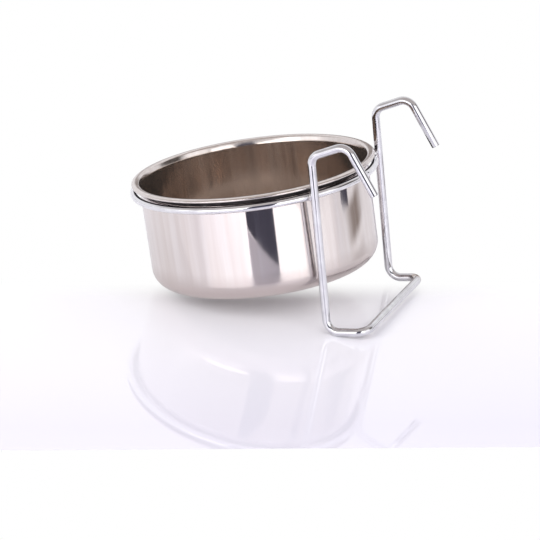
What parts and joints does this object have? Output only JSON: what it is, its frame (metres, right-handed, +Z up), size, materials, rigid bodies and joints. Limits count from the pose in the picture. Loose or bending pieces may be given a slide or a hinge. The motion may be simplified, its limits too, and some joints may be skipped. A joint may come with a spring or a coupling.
{
  "type": "hook-on cage cup",
  "caption": "Deep steel cup with a rolled rim that lifts out of a chromed wire ring, welded to a bent wire hanger whose hooks go over a cage bar.",
  "frame": {"origin": "middle of the whole object's box, at the height of the table that it is set down on", "axes": "+Z up, +X from the cup towards the hanger's hooks and foot, -Y the side nearer the camera"},
  "size_m": [0.1522, 0.1324, 0.1048],
  "materials": {
    "cup_steel": "polished outside, satin inside",
    "ring_chrome": "bright plated",
    "hanger_chrome": "bright plated",
    "weld_metal": "plated over a rough weld"
  },
  "bodies": {
    "holder": {"ring": "ring_chrome", "hanger": "hanger_chrome", "near_weld": "weld_metal", "far_weld": "weld_metal"},
    "cup": {"cup": "cup_steel"}
  },
  "joints": [
    {"name": "cup_lift", "type": "slide", "parent": "holder", "child": "cup", "axis": [-0.2039, 0.0332, 0.9784], "range_m": [0, 0.07]}
  ]
}
